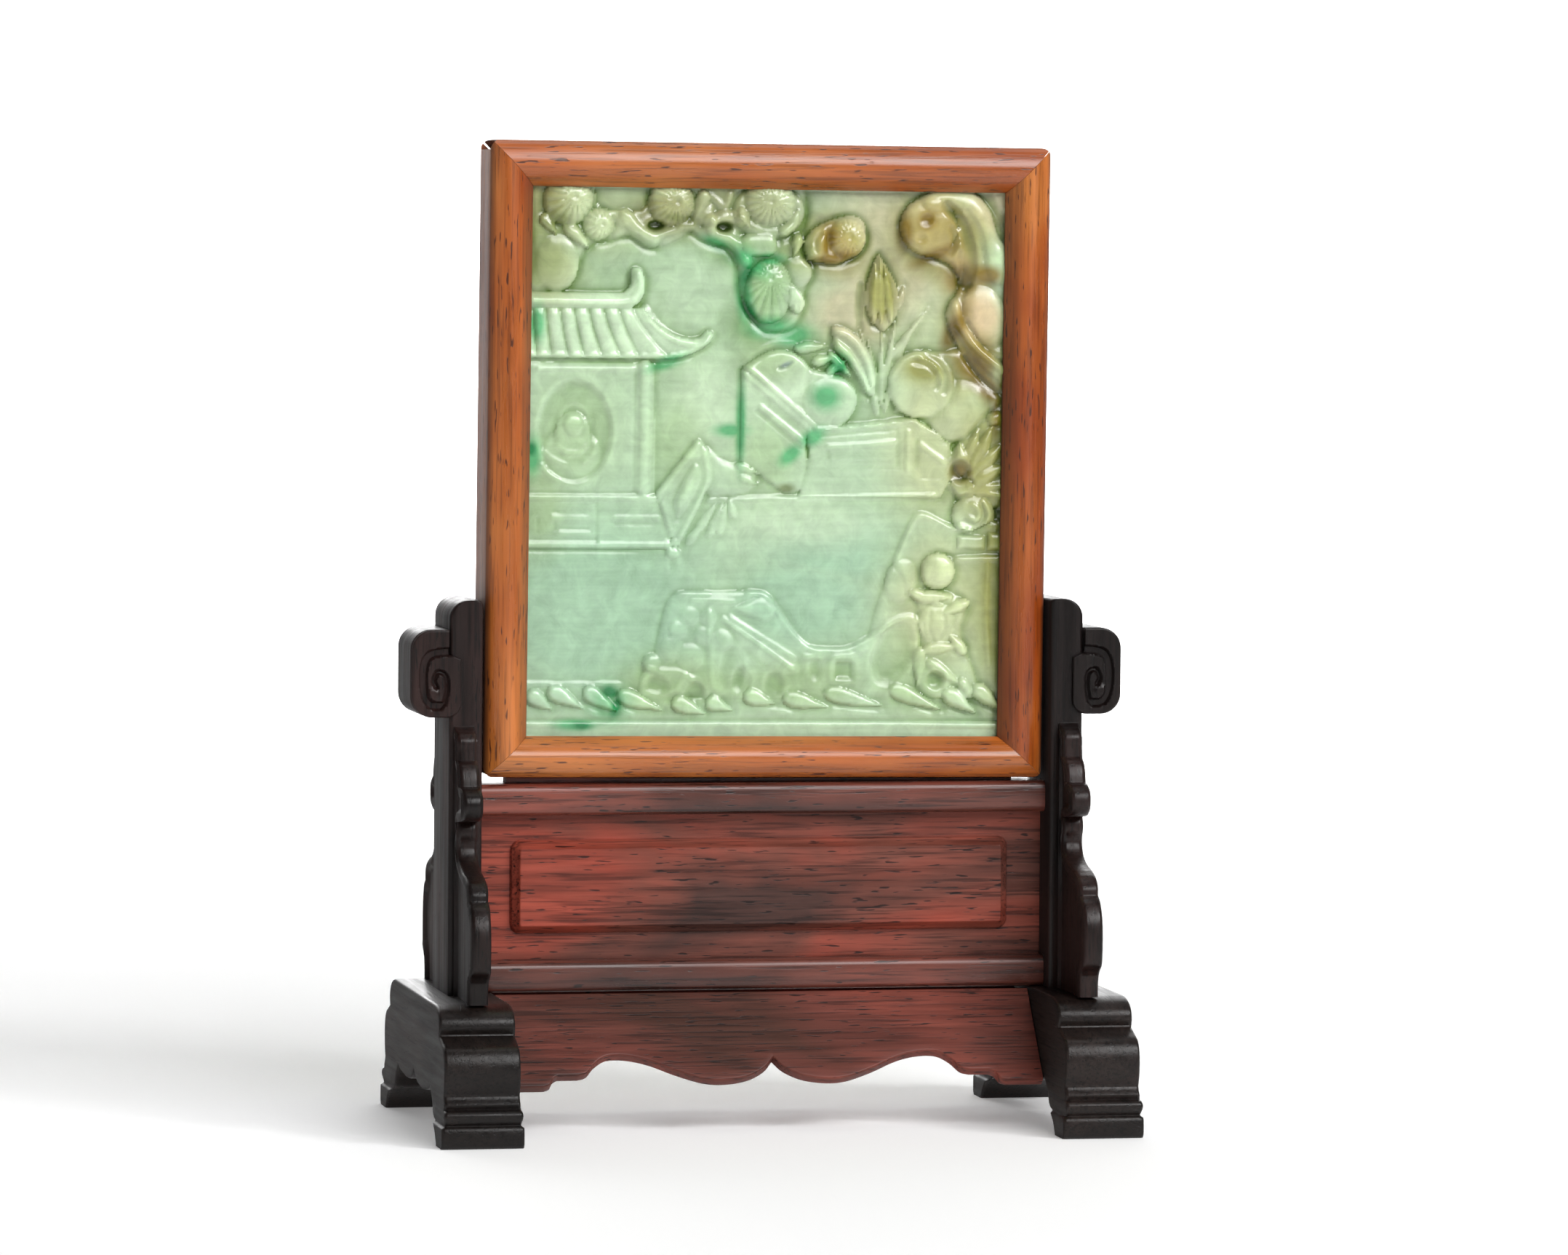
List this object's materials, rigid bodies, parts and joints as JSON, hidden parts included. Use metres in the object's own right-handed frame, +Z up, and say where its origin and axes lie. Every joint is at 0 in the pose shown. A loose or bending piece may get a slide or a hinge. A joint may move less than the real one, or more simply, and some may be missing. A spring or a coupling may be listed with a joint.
{
  "type": "table screen with carved jade plaque",
  "caption": "Table screen: a jade plaque carved with a garden landscape, in a mitred hardwood frame, standing in a dark hardwood stand with scroll ears, spandrels and shoe feet.",
  "frame": {"origin": "on the standing surface, under the middle of the part's bounding box", "axes": "+Z up; the carved face looks along -Y; X runs across the stand; Y is the shortest side and Z the longest"},
  "size_m": [0.1618, 0.0916, 0.2205],
  "materials": {
    "polished_jade": "polished jadeite, pale apple green with emerald and olive patches",
    "orange_hardwood": "waxed orange-brown rosewood with short dark pores",
    "red_brown_hardwood": "waxed dark red-brown rosewood",
    "black_brown_hardwood": "near-black waxed rosewood"
  },
  "bodies": {
    "root": {"jade_plaque": "polished_jade", "frame_bottom": "orange_hardwood", "frame_left": "orange_hardwood", "frame_top": "orange_hardwood", "frame_right": "orange_hardwood", "post_left": "red_brown_hardwood", "post_right": "red_brown_hardwood", "ear_left": "red_brown_hardwood", "ear_right": "red_brown_hardwood", "rail_top": "red_brown_hardwood", "rail_bottom": "red_brown_hardwood", "panel": "red_brown_hardwood", "apron_front": "red_brown_hardwood", "apron_back": "red_brown_hardwood", "spandrel_front_left": "red_brown_hardwood", "spandrel_front_right": "red_brown_hardwood", "spandrel_back_left": "red_brown_hardwood", "spandrel_back_right": "red_brown_hardwood", "foot_left": "black_brown_hardwood", "foot_right": "black_brown_hardwood"}
  },
  "joints": []
}
